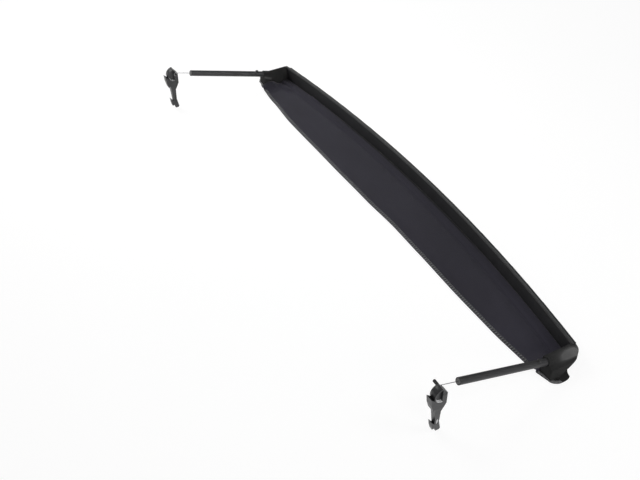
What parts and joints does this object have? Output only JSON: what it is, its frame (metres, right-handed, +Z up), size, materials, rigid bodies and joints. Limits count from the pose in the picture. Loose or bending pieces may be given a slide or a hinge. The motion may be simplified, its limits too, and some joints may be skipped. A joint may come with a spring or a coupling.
{
  "type": "sunroof wind deflector",
  "caption": "Arched sunroof wind deflector: a felt-topped bow rail with a hemmed mesh panel, on raised arms that end in barbed spring clips.",
  "frame": {"origin": "middle of the part's overall box, on the table it lies on", "axes": "+X to the car's right along the bow, +Y forward to the bow, +Z up from the table"},
  "size_m": [0.8054, 0.2558, 0.0759],
  "materials": {
    "rail_plastic": "satin black moulding",
    "felt": "short grey pile",
    "mesh": "fine woven mesh, dark grey",
    "hem": "stitched grey edging cord",
    "cap_plastic": "satin black moulding",
    "arm_coating": "dark grey coated tube",
    "plug_plastic": "grey moulded plug",
    "rivet_metal": "black finished rivet",
    "spring_wire": "drawn spring wire",
    "clip_plastic": "glossy black moulding",
    "pin_metal": "black finished pin"
  },
  "bodies": {
    "frame": {"bow_rail": "rail_plastic", "felt_strip": "felt", "mesh_panel": "mesh", "hem_strip": "hem", "left_end_cap": "cap_plastic", "right_end_cap": "cap_plastic", "left_arm_tube": "arm_coating", "right_arm_tube": "arm_coating", "left_tube_plug": "plug_plastic", "right_tube_plug": "plug_plastic", "left_lock_rivet": "rivet_metal", "right_lock_rivet": "rivet_metal", "left_torsion_spring": "spring_wire", "right_torsion_spring": "spring_wire"},
    "left_clip": {"left_clip": "clip_plastic", "left_pivot_pin": "pin_metal"},
    "right_clip": {"right_clip": "clip_plastic", "right_pivot_pin": "pin_metal"}
  },
  "joints": [
    {"name": "left_clip_pivot", "type": "hinge", "parent": "frame", "child": "left_clip", "pos_m": [-0.386, -0.11015, 0.0671], "axis": [1, 0, 0], "range_deg": [-15, 35], "stiffness_Nm_per_rad": 0.3},
    {"name": "right_clip_pivot", "type": "hinge", "parent": "frame", "child": "right_clip", "pos_m": [0.386, -0.11015, 0.0671], "axis": [1, 0, 0], "range_deg": [-15, 35], "stiffness_Nm_per_rad": 0.3}
  ]
}
